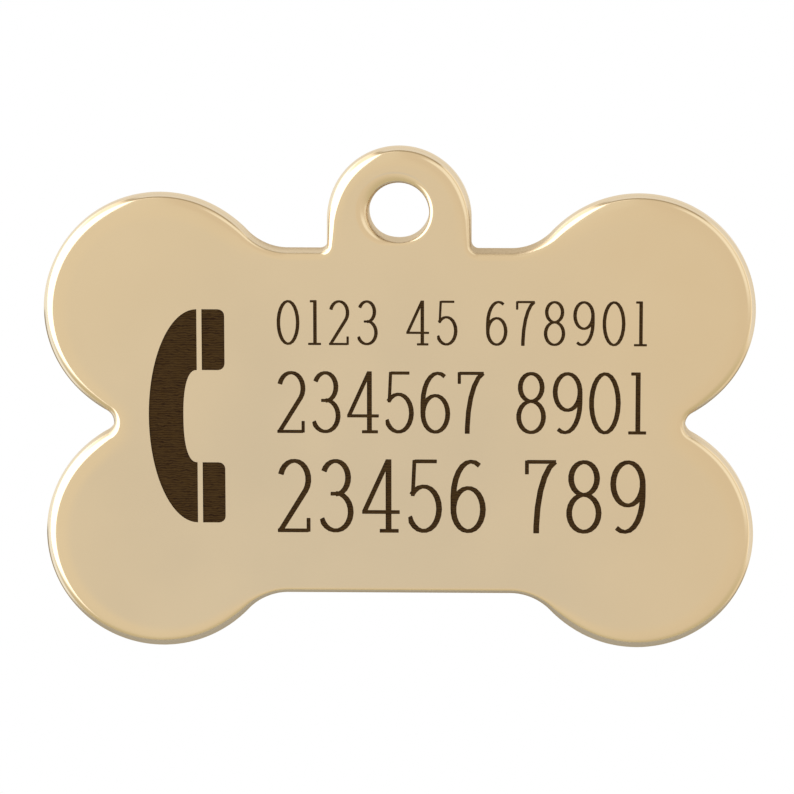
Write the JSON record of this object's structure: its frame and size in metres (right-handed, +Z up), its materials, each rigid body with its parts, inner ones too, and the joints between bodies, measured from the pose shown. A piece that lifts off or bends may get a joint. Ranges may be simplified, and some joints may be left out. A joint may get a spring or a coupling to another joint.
{
  "type": "pet id tag",
  "caption": "Bone shaped brass pet id tag with a ring loop, an engraved handset picture and rows of plain numbers filled dark.",
  "frame": {"origin": "centre of the ring hole, half way through the plate", "axes": "+X to the right across the tag as its front is read, +Y through the plate to its back, +Z up towards the ring"},
  "size_m": [0.038, 0.0018, 0.0273],
  "materials": {
    "brass": "polished",
    "dark_filling": "matt, with fine level ridges"
  },
  "bodies": {
    "root": {"tag_plate": "brass", "handset_grip": "dark_filling", "handset_earpiece": "dark_filling", "handset_mouthpiece": "dark_filling", "number_row_top": "dark_filling", "number_row_middle": "dark_filling", "number_row_bottom": "dark_filling"}
  },
  "joints": []
}
